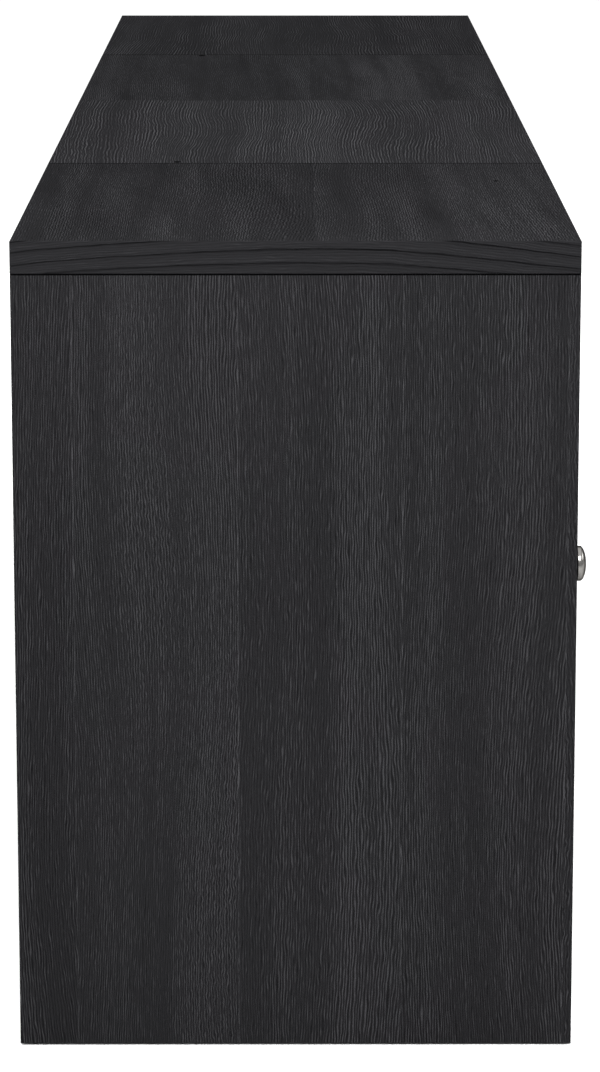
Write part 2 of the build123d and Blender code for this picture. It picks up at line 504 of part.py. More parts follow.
# ------------------------------------------------------------------ pivot hinges: the half on the frame
# each end of a door: the frame's face, the way it looks, and the door's edge
PIVOT_ENDS = ((INSIDE_Z, 1, DOOR_Z0), (TOP_Z, -1, DOOR_Z1))

with BuildPart() as frame_leaves:
    for door in range(DOOR_COUNT):
        for face_z, toward, _ in PIVOT_ENDS:
            leaf = leaf_outline(door, Plane.XY.offset(face_z))
            extrude(leaf, amount=-toward * LEAF_T)
            bore((0, 0, toward), [(PIVOT_X[door], PIVOT_Y, face_z)], PIN_R, LEAF_T)
            screw_holes((0, 0, toward), leaf_screw_points(door, face_z), SMALL_SCREW)
frame_leaves.part.label = "frame_leaves"
export_step(frame_leaves.part, "parts/frame_leaves.step")

pin_length = LEAF_T + GAP_EDGE + LEAF_T + PIN_IN_DOOR
with BuildPart() as pivot_pin:
    with BuildSketch():
        Circle(PIN_R)
    extrude(amount=pin_length)
    chamfer(pivot_pin.edges().group_by(Axis.Z)[-1], METAL_EASE)
with BuildPart() as pivot_pins:
    for face_z, toward, _ in PIVOT_ENDS:
        place(pivot_pin.part, (0, 0, toward), [(x, PIVOT_Y, face_z - toward * LEAF_T) for x in PIVOT_X])
pivot_pins.part.label = "pivot_pins"
export_step(pivot_pins.part, "parts/pivot_pins.step")

with BuildPart() as washer:
    with BuildSketch():
        Circle(WASHER_R)
        Circle(PIN_R + SLIP, mode=Mode.SUBTRACT)
    extrude(amount=GAP_EDGE - WASHER_PLAY)
with BuildPart() as pivot_washers:
    for face_z, toward, _ in PIVOT_ENDS:
        place(washer.part, (0, 0, toward), [(x, PIVOT_Y, face_z) for x in PIVOT_X])
pivot_washers.part.label = "pivot_washers"
export_step(pivot_washers.part, "parts/pivot_washers.step")

with BuildPart() as frame_leaf_screws:
    for face_z, toward, _ in PIVOT_ENDS:
        spots = [point for door in range(DOOR_COUNT) for point in leaf_screw_points(door, face_z)]
        place(small_screw, (0, 0, toward), spots)
frame_leaf_screws.part.label = "frame_leaf_screws"
export_step(frame_leaf_screws.part, "parts/frame_leaf_screws.step")

# ------------------------------------------------------------------ doors
with BuildPart() as knob:  # along -Y, with its foot at the origin
    with BuildSketch(Plane.YZ):
        with BuildLine():
            rim_y = KNOB_CROWN - KNOB_OUT
            head_y = KNOB_HEAD_T - KNOB_OUT
            foot = (-KNOB_FOOT_T, KNOB_FOOT_R)
            shoulder = (head_y, KNOB_R - KNOB_SHOULDER)
            Polyline((-KNOB_OUT, 0), (0, 0), (0, KNOB_FOOT_R), foot)
            Spline(foot, (head_y / 2, KNOB_NECK_R), shoulder, tangents=[(-0.3, -1), (-0.2, 1)])
            ThreePointArc(shoulder, (rim_y + KNOB_RIM_ROLL, KNOB_R - KNOB_RIM_EASE), (rim_y, KNOB_R))
            crown_r = (KNOB_R**2 + KNOB_CROWN**2) / (2 * KNOB_CROWN)
            RadiusArc((rim_y, KNOB_R), (-KNOB_OUT, 0), -crown_r)
        make_face()
    revolve(axis=Axis.Y)
    knob_hole = KNOB_SCREW[0] - DOOR_T + KNOB_SCREW_ROOM
    bore(REARWARD, [(0, 0, 0)], KNOB_SCREW[1] + SLIP, knob_hole)
knob_screw = countersunk_screw(KNOB_SCREW)

pin_hole = LEAF_T + PIN_IN_DOOR + PIN_END_ROOM
for door in range(DOOR_COUNT):
    name = f"door_{door + 1}"
    x0, pivot_x, strike_x = DOOR_X0[door], PIVOT_X[door], CATCH_X[door]
    knob_x = x0 + DOOR_W / 2
    strike_screw_x = (strike_x - STRIKE_SCREW_OUT, strike_x + STRIKE_SCREW_OUT)
    strike_spots = [(x, DOOR_BACK + STRIKE_T, CATCH_MID_Z) for x in strike_screw_x]

    with BuildPart() as panel:
        board((x0, x0 + DOOR_W), (DOOR_FRONT, DOOR_BACK), (DOOR_Z0, DOOR_Z1))
        chamfer(panel.faces().sort_by(Axis.Y)[0].edges(), ARRIS)
        for _, toward, edge_z in PIVOT_ENDS:
            recess = leaf_outline(door, Plane.XY.offset(edge_z))
            extrude(recess, amount=toward * LEAF_T, mode=Mode.SUBTRACT)
            bore((0, 0, -toward), [(pivot_x, PIVOT_Y, edge_z)], PIN_R + SLIP, pin_hole)
            screw_holes((0, 0, -toward), leaf_screw_points(door, edge_z), SMALL_SCREW)
        screw_holes(REARWARD, [(knob_x, DOOR_BACK, DOOR_MID_Z)], KNOB_SCREW)
        screw_holes(REARWARD, strike_spots, SMALL_SCREW)
    panel.part.label = name
    export_step(panel.part, f"parts/{name}.step")

    with BuildPart() as leaves:
        for _, toward, edge_z in PIVOT_ENDS:
            leaf = leaf_outline(door, Plane.XY.offset(edge_z))
            extrude(leaf, amount=toward * LEAF_T)
            bore((0, 0, -toward), [(pivot_x, PIVOT_Y, edge_z)], PIN_R + SLIP, LEAF_T)
            screw_holes((0, 0, -toward), leaf_screw_points(door, edge_z), SMALL_SCREW)
    leaves.part.label = f"{name}_leaves"
    export_step(leaves.part, f"parts/{name}_leaves.step")

    with BuildPart() as screws:
        for _, toward, edge_z in PIVOT_ENDS:
            place(small_screw, (0, 0, -toward), leaf_screw_points(door, edge_z))
        place(small_screw, REARWARD, strike_spots)
    screws.part.label = f"{name}_screws"
    export_step(screws.part, f"parts/{name}_screws.step")

    with BuildPart() as strike:
        board(
            (strike_x - STRIKE_W / 2, strike_x + STRIKE_W / 2),
            (DOOR_BACK, DOOR_BACK + STRIKE_T),
            (CATCH_MID_Z - STRIKE_H / 2, CATCH_MID_Z + STRIKE_H / 2),
        )
        fillet(strike.edges().filter_by(Axis.Y), PLATE_CORNER_R)
        screw_holes(REARWARD, strike_spots, SMALL_SCREW)
    strike.part.label = f"{name}_strike"
    export_step(strike.part, f"parts/{name}_strike.step")

    with BuildPart() as placed_knob:
        with Locations((knob_x, DOOR_FRONT, DOOR_MID_Z)):
            add(knob.part)
    placed_knob.part.label = f"{name}_knob"
    export_step(placed_knob.part, f"parts/{name}_knob.step")

    with BuildPart() as placed_screw:
        place(knob_screw, REARWARD, [(knob_x, DOOR_BACK, DOOR_MID_Z)])
    placed_screw.part.label = f"{name}_knob_screw"
    export_step(placed_screw.part, f"parts/{name}_knob_screw.step")
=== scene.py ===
"""A long black-stained oak sideboard, seen from its left end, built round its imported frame.

Metres. +X runs along the length, -Y is the front and +Z is up.
"""

import math

import bmesh
import bpy
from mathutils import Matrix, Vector


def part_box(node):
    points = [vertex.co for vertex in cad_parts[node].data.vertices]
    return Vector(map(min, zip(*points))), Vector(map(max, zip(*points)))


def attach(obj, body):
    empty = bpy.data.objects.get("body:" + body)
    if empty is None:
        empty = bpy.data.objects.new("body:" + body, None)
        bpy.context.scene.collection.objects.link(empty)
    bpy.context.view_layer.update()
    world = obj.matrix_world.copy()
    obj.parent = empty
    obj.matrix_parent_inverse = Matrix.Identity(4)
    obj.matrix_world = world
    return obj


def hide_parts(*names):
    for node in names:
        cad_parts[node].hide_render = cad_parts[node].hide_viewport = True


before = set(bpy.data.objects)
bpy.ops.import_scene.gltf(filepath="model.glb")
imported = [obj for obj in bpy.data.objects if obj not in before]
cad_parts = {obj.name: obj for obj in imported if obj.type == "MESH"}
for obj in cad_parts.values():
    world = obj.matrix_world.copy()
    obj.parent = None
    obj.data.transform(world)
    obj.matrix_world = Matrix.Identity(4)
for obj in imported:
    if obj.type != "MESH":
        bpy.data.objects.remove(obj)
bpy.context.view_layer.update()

# ------------------------------------------------------------------ sizes and places, from the frame
FRONT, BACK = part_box("left_end_panel")[0].y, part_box("left_end_panel")[1].y
LEFT_END, RIGHT_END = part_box("left_end_panel")[0].x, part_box("right_end_panel")[1].x
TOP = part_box("top_board_1")[1].z
TOP_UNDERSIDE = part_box("top_board_1")[0].z
TOP_BOARDS = ("top_board_1", "top_board_2", "top_board_3", "top_board_4")
DOORS = ("door_1", "door_2", "door_3", "door_4")
CARCASS = "carcass"

LEAF_WIDTH = 0.146  # veneer leaves on the upright panels
FIRST_LEAF_FROM_BACK = 0.053
TOP_LEAF_WIDTH = 0.27
ONE_LEAF = 5.0  # wider than any board, so that it has no leaf joint
EASED_EDGE = 0.0003  # radius rubbed onto each long edge
MERGE_WITHIN = 2e-6
AT_END = 2e-5  # corners this near the end of a solid lie on it
LONG_EDGE = 0.05
CORNER_ANGLE = 0.4  # radians that two faces turn through at an edge worth easing
JOINT_SLOPE, SEAM_SLOPE = 0.0012, 0.0022  # how far the slopes of a joint reach from it, where they get painted shadow
SLOPING = (0.3, 0.95)  # the upward share of a sloping face's normal
# the two seams of the top whose groove slopes get painted shadow
PAINTED_SHADOW_SEAMS = (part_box("top_board_1")[1].x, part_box("top_board_4")[0].x)

X, Y, Z = 0, 1, 2


# ------------------------------------------------------------------ node helpers
def add_node(tree, kind, inputs=None, **settings):
    """A new node, with its settings and its inputs given as values or as sockets to link."""
    node = tree.nodes.new(kind)
    for name, value in settings.items():
        setattr(node, name, value)
    for key, value in (inputs or {}).items():
        if isinstance(value, bpy.types.NodeSocket):
            tree.links.new(value, node.inputs[key])
        else:
            node.inputs[key].default_value = value
    return node


def calc(tree, operation, a, b=0.0, c=0.0):
    """One step of arithmetic on values or sockets."""
    return add_node(tree, "ShaderNodeMath", {0: a, 1: b, 2: c}, operation=operation).outputs[0]


def fade(tree, value, start, end, low=0.0, high=1.0):
    """Goes smoothly from low to high while the value goes from start to end."""
    inputs = {"Value": value, "From Min": start, "From Max": end, "To Min": low, "To Max": high}
    return add_node(tree, "ShaderNodeMapRange", inputs, interpolation_type="SMOOTHSTEP").outputs["Result"]


def plain_noise(tree, place, per_metre, detail=2.0):
    """Noise about 0.5, with that many features in a metre each way."""
    inputs = {"Vector": place, "Scale": per_metre, "Detail": detail}
    return add_node(tree, "ShaderNodeTexNoise", inputs).outputs[0]


def stretched_noise(tree, across, along, third, per_metre, detail=2.0, roughness=0.55):
    """Noise about 0, with that many features in a metre across and along."""
    scaled = {
        "X": calc(tree, "MULTIPLY", across, per_metre[0]),
        "Y": calc(tree, "MULTIPLY", along, per_metre[1]),
        "Z": third,
    }
    place = add_node(tree, "ShaderNodeCombineXYZ", scaled).outputs[0]
    noise = add_node(
        tree,
        "ShaderNodeTexNoise",
        {"Vector": place, "Scale": 1.0, "Detail": detail, "Roughness": roughness},
    )
    return calc(tree, "SUBTRACT", noise.outputs[0], 0.5)


def fine_lines(tree, across, along, third, per_metre, drift, drift_per_metre):
    """Fine lines between -1 and 1, that many in a metre, which drift sideways as they go."""
    sway = stretched_noise(tree, across, along, third, drift_per_metre, detail=1.0)
    place = calc(tree, "MULTIPLY_ADD", sway, drift, calc(tree, "MULTIPLY", across, per_metre))
    return calc(tree, "SINE", calc(tree, "MULTIPLY", place, 2.0 * math.pi))


def new_group(name, inputs, outputs):
    """An empty shader node group with named sockets: the tree, its input node and its output node."""
    tree = bpy.data.node_groups.new(name, "ShaderNodeTree")
    for label, default in inputs.items():
        socket = tree.interface.new_socket(label, in_out="INPUT", socket_type="NodeSocketFloat")
        socket.default_value = default
    for label, kind in outputs.items():
        tree.interface.new_socket(label, in_out="OUTPUT", socket_type=kind)
    return tree, tree.nodes.new("NodeGroupInput"), tree.nodes.new("NodeGroupOutput")


# ------------------------------------------------------------------ effects that several finishes share
def make_oak_grain():
    """Black-stained open-pored oak veneer: leaves, streaks, growth bands, ripple, mottle and rings."""
    tree, given, made = new_group(
        "stained oak grain",
        {
            "Across": 0.0,
            "Along": 0.0,
            "Through": 0.0,
            "Board": 0.0,
            "Leaf From": 0.0,
            "Leaf Width": LEAF_WIDTH,
            "Arch": 0.0,
            "Rings": 0.0,
            "Ripple": 0.0,
            "Ripple Rate": 310.0,
            "Mottle": 0.0,
            "Tone": 0.0,
            "Knot Across": 0.0,
            "Knot Along": 0.0,
            "Knot Radius": 0.0,
        },
        {"Color": "NodeSocketColor", "Roughness": "NodeSocketFloat", "Height": "NodeSocketFloat"},
    )
    value = given.outputs

    # each leaf of veneer was cut from another stretch of the log
    leaf_place = calc(
        tree, "DIVIDE", calc(tree, "SUBTRACT", value["Across"], value["Leaf From"]), value["Leaf Width"]
    )
    leaf = calc(tree, "FLOOR", leaf_place)
    board_seed = calc(tree, "MULTIPLY", value["Board"], 3.77)
    leaf_seed = calc(tree, "ADD", calc(tree, "MULTIPLY", leaf, 7.31), board_seed)
    chance = add_node(tree, "ShaderNodeTexWhiteNoise", {"W": leaf_seed}, noise_dimensions="1D")
    chances = add_node(tree, "ShaderNodeSeparateColor", {"Color": chance.outputs["Color"]}).outputs
    leaf_tone = calc(tree, "SUBTRACT", chances[0], 0.5)
    part = calc(tree, "SUBTRACT", leaf_place, leaf)
    nearer_side = calc(tree, "MINIMUM", part, calc(tree, "SUBTRACT", 1.0, part))
    to_joint = calc(tree, "MULTIPLY", nearer_side, value["Leaf Width"])
    joint = fade(tree, to_joint, 0.0002, 0.0009, 1.0, 0.0)

    across = calc(tree, "MULTIPLY_ADD", chances[1], 2.3, value["Across"])
    along = calc(tree, "MULTIPLY_ADD", chances[2], 3.1, value["Along"])
    seed = calc(tree, "MULTIPLY_ADD", value["Through"], 60.0, leaf_seed)

    # the grain meanders, and where it ripples it also sways in short waves
    meander = stretched_noise(tree, across, along, leaf_seed, (4.0, 1.5), detail=1.0)
    wiggle = stretched_noise(tree, across, along, leaf_seed, (45.0, 42.0), detail=1.0)
    sway = stretched_noise(tree, across, along, leaf_seed, (16.0, 8.0), detail=2.0)
    bow = calc(tree, "MULTIPLY", value["Arch"], calc(tree, "MULTIPLY", value["Along"], value["Along"]))
    bent = calc(tree, "MULTIPLY_ADD", meander, 0.07, calc(tree, "ADD", across, bow))
    bent = calc(tree, "MULTIPLY_ADD", wiggle, 0.0010, bent)
    bent = calc(tree, "MULTIPLY_ADD", sway, calc(tree, "MULTIPLY", value["Ripple"], 0.009), bent)

    bands = stretched_noise(tree, bent, along, seed, (34.0, 0.8), detail=2.0)
    broad = stretched_noise(tree, bent, along, seed, (9.0, 0.9), detail=1.0)
    lines = fine_lines(tree, bent, along, seed, 425.0, 1.5, (210.0, 42.0))
    flecks = fine_lines(tree, bent, along, seed, 425.0, 1.5, (240.0, 120.0))
    weight = stretched_noise(tree, bent, along, seed, (430.0, 75.0), detail=1.0)
    ripples = fine_lines(tree, bent, along, seed, value["Ripple Rate"], 0.9, (90.0, 9.0))
    patches = stretched_noise(tree, bent, along, seed, (40.0, 6.0), detail=2.0)
    slanted = calc(tree, "MULTIPLY_ADD", along, -0.06, across)
    clouds = stretched_noise(tree, slanted, along, seed, (38.0, 4.0), detail=3.0)

    # some leaves show long lines and others short flecks
    flecked = fade(tree, calc(tree, "MULTIPLY_ADD", broad, 0.5, chances[0]), 0.40, 0.60)
    flecked = calc(tree, "MAXIMUM", flecked, value["Mottle"])
    streak = add_node(tree, "ShaderNodeMix", {0: flecked, 2: lines, 3: flecks}).outputs[0]
    strength = fade(tree, calc(tree, "MULTIPLY_ADD", weight, 1.6, bands), -0.35, 0.35, 0.45, 1.6)
    strength = calc(tree, "MULTIPLY", strength, fade(tree, value["Ripple"], 0.0, 1.0, 1.0, 0.6))
    strength = calc(tree, "MULTIPLY", strength, fade(tree, value["Rings"], 0.0, 1.0, 1.0, 0.4))
    streak = calc(tree, "MULTIPLY", streak, strength)
    ripple = calc(tree, "MULTIPLY", ripples, fade(tree, patches, -0.22, 0.22, 0.1, 1.0))
    ripple = calc(tree, "MULTIPLY", ripple, value["Ripple"])

    # rings: early wood drinks more stain, so it makes dark, ragged lines
    ragged = stretched_noise(tree, across, along, seed, (500.0, 60.0), detail=2.0)
    ring_place = calc(tree, "MULTIPLY_ADD", ragged, 0.10, calc(tree, "MULTIPLY", bent, 88.0))
    ring_place = calc(tree, "MULTIPLY_ADD", bands, 1.0, ring_place)
    ring_part = calc(tree, "FRACT", ring_place)
    ring_line = fade(tree, ring_part, 0.78, 0.90)
    ring_rise = calc(tree, "MULTIPLY_ADD", fade(tree, ring_part, 0.35, 0.80), 0.3, ring_line)
    ring = calc(tree, "MULTIPLY", ring_rise, fade(tree, ring_part, 0.92, 1.0, 1.0, 0.0))

    # one small knot to a board, where it has a radius
    knot_across = calc(tree, "SUBTRACT", value["Across"], value["Knot Across"])
    knot_along = calc(tree, "SUBTRACT", value["Along"], value["Knot Along"])
    knot_along = calc(tree, "MULTIPLY", knot_along, 0.6)
    squares = calc(tree, "MULTIPLY", knot_along, knot_along)
    squares = calc(tree, "MULTIPLY_ADD", knot_across, knot_across, squares)
    knot_radius = calc(tree, "ADD", value["Knot Radius"], 0.00001)
    from_knot = calc(tree, "DIVIDE", calc(tree, "SQRT", squares), knot_radius)
    knot = fade(tree, from_knot, 0.6, 1.2, 1.0, 0.0)

    # how much lighter each effect makes the stain
    tone = calc(tree, "ADD", value["Tone"], 0.46)
    for effect, weight in (
        (bands, 0.15),
        (broad, 0.15),
        (leaf_tone, 0.06),
        (streak, 0.19),
        (ripple, 0.21),
        (calc(tree, "MULTIPLY", clouds, value["Mottle"]), 0.24),
        (calc(tree, "MULTIPLY", ring, value["Rings"]), -0.30),
        (value["Rings"], 0.06),
        (calc(tree, "MULTIPLY", joint, fade(tree, value["Mottle"], 0.0, 1.0, 1.0, 1 / 3)), 0.15),
        (knot, -0.80),
    ):
        tone = calc(tree, "MULTIPLY_ADD", effect, weight, tone)

    shade = add_node(tree, "ShaderNodeValToRGB", {"Fac": tone})
    ramp = shade.color_ramp
    ramp.elements[0].position, ramp.elements[0].color = 0.0, (0.0024, 0.0024, 0.0026, 1)
    ramp.elements[1].position, ramp.elements[1].color = 1.0, (0.054, 0.054, 0.0575, 1)
    middle = ramp.elements.new(0.5)
    middle.color = (0.0119, 0.0118, 0.0127, 1)

    relief = calc(tree, "MULTIPLY_ADD", streak, 0.5, calc(tree, "MULTIPLY", ripple, 0.5))
    tree.links.new(shade.outputs["Color"], made.inputs["Color"])
    tree.links.new(calc(tree, "MULTIPLY_ADD", streak, -0.04, 0.66), made.inputs["Roughness"])
    tree.links.new(relief, made.inputs["Height"])
    return tree


def make_rubbed_metal():
    """Fine uneven rubbing on plated metal: a tone, a roughness and a height that change over it."""
    tree, given, made = new_group(
        "rubbed metal",
        {"Roughness": 0.3, "Unevenness": 0.08},
        {"Tone": "NodeSocketFloat", "Roughness": "NodeSocketFloat", "Height": "NodeSocketFloat"},
    )
    place = add_node(tree, "ShaderNodeTexCoord").outputs["Object"]
    fine = plain_noise(tree, place, 1800.0, detail=3.0)
    broad = plain_noise(tree, place, 90.0)
    fine_part = calc(tree, "SUBTRACT", fine, 0.5)
    both = calc(tree, "MULTIPLY_ADD", calc(tree, "SUBTRACT", broad, 0.5), 1.5, fine_part)
    uneven = calc(tree, "MULTIPLY_ADD", both, given.outputs["Unevenness"], given.outputs["Roughness"])
    tree.links.new(calc(tree, "MULTIPLY_ADD", both, 0.18, 0.9), made.inputs["Tone"])
    tree.links.new(uneven, made.inputs["Roughness"])
    tree.links.new(fine, made.inputs["Height"])
    return tree


OAK_GRAIN = make_oak_grain()
RUBBED_METAL = make_rubbed_metal()


# ------------------------------------------------------------------ finishes
def new_material(name):
    """A material with its tree empty but for the surface shader and the output."""
    material = bpy.data.materials.new(name)
    material.use_nodes = True
    return material, material.node_tree, material.node_tree.nodes["Principled BSDF"]


def bump(tree, surface, height, depth, strength=1.0):
    inputs = {"Height": height, "Distance": depth, "Strength": strength}
    tree.links.new(add_node(tree, "ShaderNodeBump", inputs).outputs["Normal"], surface.inputs["Normal"])


def tint(tree, surface, color, tone):
    """Gives a surface one colour, made lighter and darker over it by a tone."""
    tinted = add_node(tree, "ShaderNodeVectorMath", {0: color, "Scale": tone}, operation="SCALE")
    tree.links.new(tinted.outputs["Vector"], surface.inputs["Base Color"])


BOARD_NUMBERS = ("board", "leaf_from", "tone", "knot_across", "knot_along", "knot_radius")


def stained_oak(name, across, along, relief=0.00010, **grain):
    """Stained oak with its grain along one axis. Each board carries its own numbers as attributes."""
    material, tree, surface = new_material(name)
    place = add_node(tree, "ShaderNodeTexCoord").outputs["Object"]
    parts = add_node(tree, "ShaderNodeSeparateXYZ", {"Vector": place}).outputs
    through = ({X, Y, Z} - {across, along}).pop()
    inputs = {"Across": parts[across], "Along": parts[along], "Through": parts[through]}
    for label in BOARD_NUMBERS:
        number = add_node(tree, "ShaderNodeAttribute", attribute_name=label)
        inputs[label.replace("_", " ").title()] = number.outputs["Fac"]
    oak = add_node(tree, "ShaderNodeGroup", node_tree=OAK_GRAIN)
    for key, value in inputs.items():
        tree.links.new(value, oak.inputs[key])
    for key, value in grain.items():
        oak.inputs[key.replace("_", " ").title()].default_value = value
    tree.links.new(oak.outputs["Color"], surface.inputs["Base Color"])
    tree.links.new(oak.outputs["Roughness"], surface.inputs["Roughness"])
    surface.inputs["Specular IOR Level"].default_value = 0.0
    bump(tree, surface, oak.outputs["Height"], relief)
    return material


def plated(name, color, roughness, unevenness=0.08, metallic=1.0, edge=1.0):
    """Plated or blackened metal, whose glancing reflections are as strong as edge says."""
    material, tree, surface = new_material(name)
    rubbed = add_node(tree, "ShaderNodeGroup", node_tree=RUBBED_METAL)
    rubbed.inputs["Roughness"].default_value = roughness
    rubbed.inputs["Unevenness"].default_value = unevenness
    tint(tree, surface, color, rubbed.outputs["Tone"])
    tree.links.new(rubbed.outputs["Roughness"], surface.inputs["Roughness"])
    surface.inputs["Metallic"].default_value = metallic
    surface.inputs["Specular Tint"].default_value = (edge, edge, edge, 1.0)
    bump(tree, surface, rubbed.outputs["Height"], 0.00001)
    return material


def moulded(name, color, roughness, grain_per_metre=2600.0, specular=0.5):
    """Moulded plastic, or another dark surface with a fine grainy texture, such as the painted shadow in
    the joints.
    """
    material, tree, surface = new_material(name)
    place = add_node(tree, "ShaderNodeTexCoord").outputs["Object"]
    grain = plain_noise(tree, place, grain_per_metre)
    tint(tree, surface, color, fade(tree, grain, 0.3, 0.7, 0.85, 1.15))
    uneven = fade(tree, grain, 0.3, 0.7, roughness - 0.06, roughness + 0.06)
    tree.links.new(uneven, surface.inputs["Roughness"])
    surface.inputs["Specular IOR Level"].default_value = specular
    bump(tree, surface, grain, 0.00002)
    return material


def plain_wood(name, color):
    """Unstained beech, seen only where a dowel or spline is out of its hole."""
    material, tree, surface = new_material(name)
    place = add_node(tree, "ShaderNodeTexCoord").outputs["Object"]
    fibres = plain_noise(tree, place, 700.0, detail=3.0)
    tint(tree, surface, color, fade(tree, fibres, 0.3, 0.7, 0.8, 1.15))
    surface.inputs["Roughness"].default_value = 0.6
    bump(tree, surface, fibres, 0.00005)
    return material


UPRIGHT_FACE = stained_oak("oak_upright_face", across=Y, along=Z)
UPRIGHT_EDGE = stained_oak("oak_upright_edge", across=X, along=Z, leaf_width=ONE_LEAF)
UPRIGHT_END = stained_oak("oak_upright_end", across=X, along=Y, leaf_width=ONE_LEAF)
DOOR_FACE = stained_oak("oak_door_face", across=X, along=Z)
DOOR_SIDE = stained_oak("oak_door_side", across=Y, along=Z, leaf_width=ONE_LEAF)
FLAT_FACE = stained_oak("oak_flat_face", across=Y, along=X, leaf_width=0.25)
FLAT_EDGE = stained_oak("oak_flat_edge", across=Z, along=X, leaf_width=ONE_LEAF)
FLAT_END = stained_oak("oak_flat_end", across=Z, along=Y, leaf_width=ONE_LEAF)
TOP_MOTTLED = stained_oak(
    "oak_top_mottled", across=Y, along=X, leaf_width=TOP_LEAF_WIDTH, mottle=1.0, relief=0.00006
)
TOP_RIPPLED = stained_oak("oak_top_rippled", across=Y, along=X, leaf_width=ONE_LEAF, ripple=1.0)
TOP_WIDE_RIPPLED = stained_oak(
    "oak_top_wide_rippled", across=Y, along=X, leaf_width=ONE_LEAF, ripple=1.3, ripple_rate=280.0
)
TOP_END = stained_oak("oak_top_end", across=Z, along=Y, leaf_width=ONE_LEAF, arch=0.32, rings=1.0)
SATIN_NICKEL = plated("satin_nickel", (0.17, 0.165, 0.158), 0.22, 0.05, edge=0.2)
ZINC_PLATE = plated("zinc_plate", (0.62, 0.64, 0.66), 0.34, 0.14)
ZINC_ALLOY = plated("zinc_alloy", (0.52, 0.52, 0.54), 0.5, 0.12)
BLACK_OXIDE = plated("black_oxide_steel", (0.09, 0.085, 0.08), 0.42, 0.12)
MAGNET_STEEL = plated("magnet_steel", (0.2, 0.2, 0.21), 0.45, 0.15)
BLACK_PLASTIC = moulded("black_plastic", (0.02, 0.02, 0.021), 0.5)
BLACK_NYLON = moulded("black_nylon", (0.03, 0.03, 0.03), 0.45)
BEECH = plain_wood("beech", (0.5, 0.33, 0.19))
# near-black painted shadow on the groove slopes under the top and at two seams of the top, where the
# lamps would otherwise light the groove
JOINT_SHADOW_PAINT = moulded("painted_joint_shadow", (0.0010, 0.0010, 0.0011), 0.9, specular=0.0)

# a board's materials, by the axis that each face looks along
UPRIGHT = (UPRIGHT_FACE, UPRIGHT_EDGE, UPRIGHT_END)
DOOR = (DOOR_SIDE, DOOR_FACE, FLAT_FACE)
FLAT = (FLAT_END, FLAT_EDGE, FLAT_FACE)


# ------------------------------------------------------------------ mesh helpers
def merged_copy(node):
    """A working copy of a CAD node, its loose triangles joined and its flat faces made whole."""
    shape = bmesh.new()
    shape.from_mesh(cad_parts[node].data)
    bmesh.ops.remove_doubles(shape, verts=shape.verts, dist=MERGE_WITHIN)
    bmesh.ops.dissolve_limit(shape, angle_limit=math.radians(0.4), verts=shape.verts, edges=shape.edges)
    return shape


def ease_long_edges(shape, radius, longer_than=LONG_EDGE):
    """Rounds the long straight edges over."""
    long_edges = [e for e in shape.edges if e.calc_length() > longer_than and len(e.link_faces) == 2]
    corners = [edge for edge in long_edges if edge.calc_face_angle() > CORNER_ANGLE]
    bmesh.ops.bevel(
        shape, geom=corners, offset=radius, segments=2, profile=0.5, affect="EDGES", clamp_overlap=True
    )


def to_piece(name, shape, materials, body, slot, *nodes):
    """Makes a piece of a working mesh, in place of its CAD nodes and riding on their body."""
    mesh = bpy.data.meshes.new(name)
    shape.to_mesh(mesh)
    shape.free()
    for material in materials:
        mesh.materials.append(material)
    mesh.shade_smooth()
    mesh.set_sharp_from_angle(angle=math.radians(24))
    piece = bpy.data.objects.new(name, mesh)
    bpy.context.scene.collection.objects.link(piece)
    return settle(weigh_normals(piece), body, slot, *nodes)


def weigh_normals(piece):
    """Lets the wide flat faces keep their own normals, so that only the eased edges look round."""
    piece.modifiers.new("weighted normals", "WEIGHTED_NORMAL").keep_sharp = True
    whole = bpy.data.meshes.new_from_object(piece.evaluated_get(bpy.context.evaluated_depsgraph_get()))
    piece.modifiers.clear()
    piece.data, used = whole, piece.data
    bpy.data.meshes.remove(used)
    whole.name = piece.name
    return piece


def settle(piece, body, slot, *nodes):
    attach(piece, body)
    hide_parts(*nodes)
    return piece


def mark(piece, **values):
    """Writes numbers that a material reads all over a piece."""
    for label, number in values.items():
        layer = piece.data.attributes.new(label, "FLOAT", "POINT")
        layer.data.foreach_set("value", [number] * len(piece.data.vertices))


def paint_by_facing(shape):
    """Numbers each face by the axis it looks along, and the slopes inside the joints, which get painted
    shadow, by 3.
    """
    shape.normal_update()
    for face in shape.faces:
        centre = face.calc_center_median()
        under_top = abs(centre.z - TOP_UNDERSIDE) < JOINT_SLOPE
        at_seam = centre.z > TOP - SEAM_SLOPE and min(abs(centre.x - x) for x in PAINTED_SHADOW_SEAMS) < SEAM_SLOPE
        # slopes under the top and at two seams get near-black paint standing in for the shade in those
        # grooves
        if SLOPING[0] < abs(face.normal.z) < SLOPING[1] and (under_top or at_seam):
            face.material_index = 3
        else:
            face.material_index = max((X, Y, Z), key=lambda axis: abs(face.normal[axis]))


def oak_board(node, name, body, materials, board, leaf_from, **numbers):
    """A veneered board in place of its CAD node, with numbers for its tone and its knot, and painted
    shadow on its joint slopes.
    """
    shape = merged_copy(node)
    ease_long_edges(shape, EASED_EDGE)
    paint_by_facing(shape)
    # the fourth material is the painted shadow for the joint slopes
    piece = to_piece(name, shape, (*materials, JOINT_SHADOW_PAINT), body, "stained_oak", node)
    mark(piece, board=float(board), leaf_from=leaf_from, **numbers)
    return piece


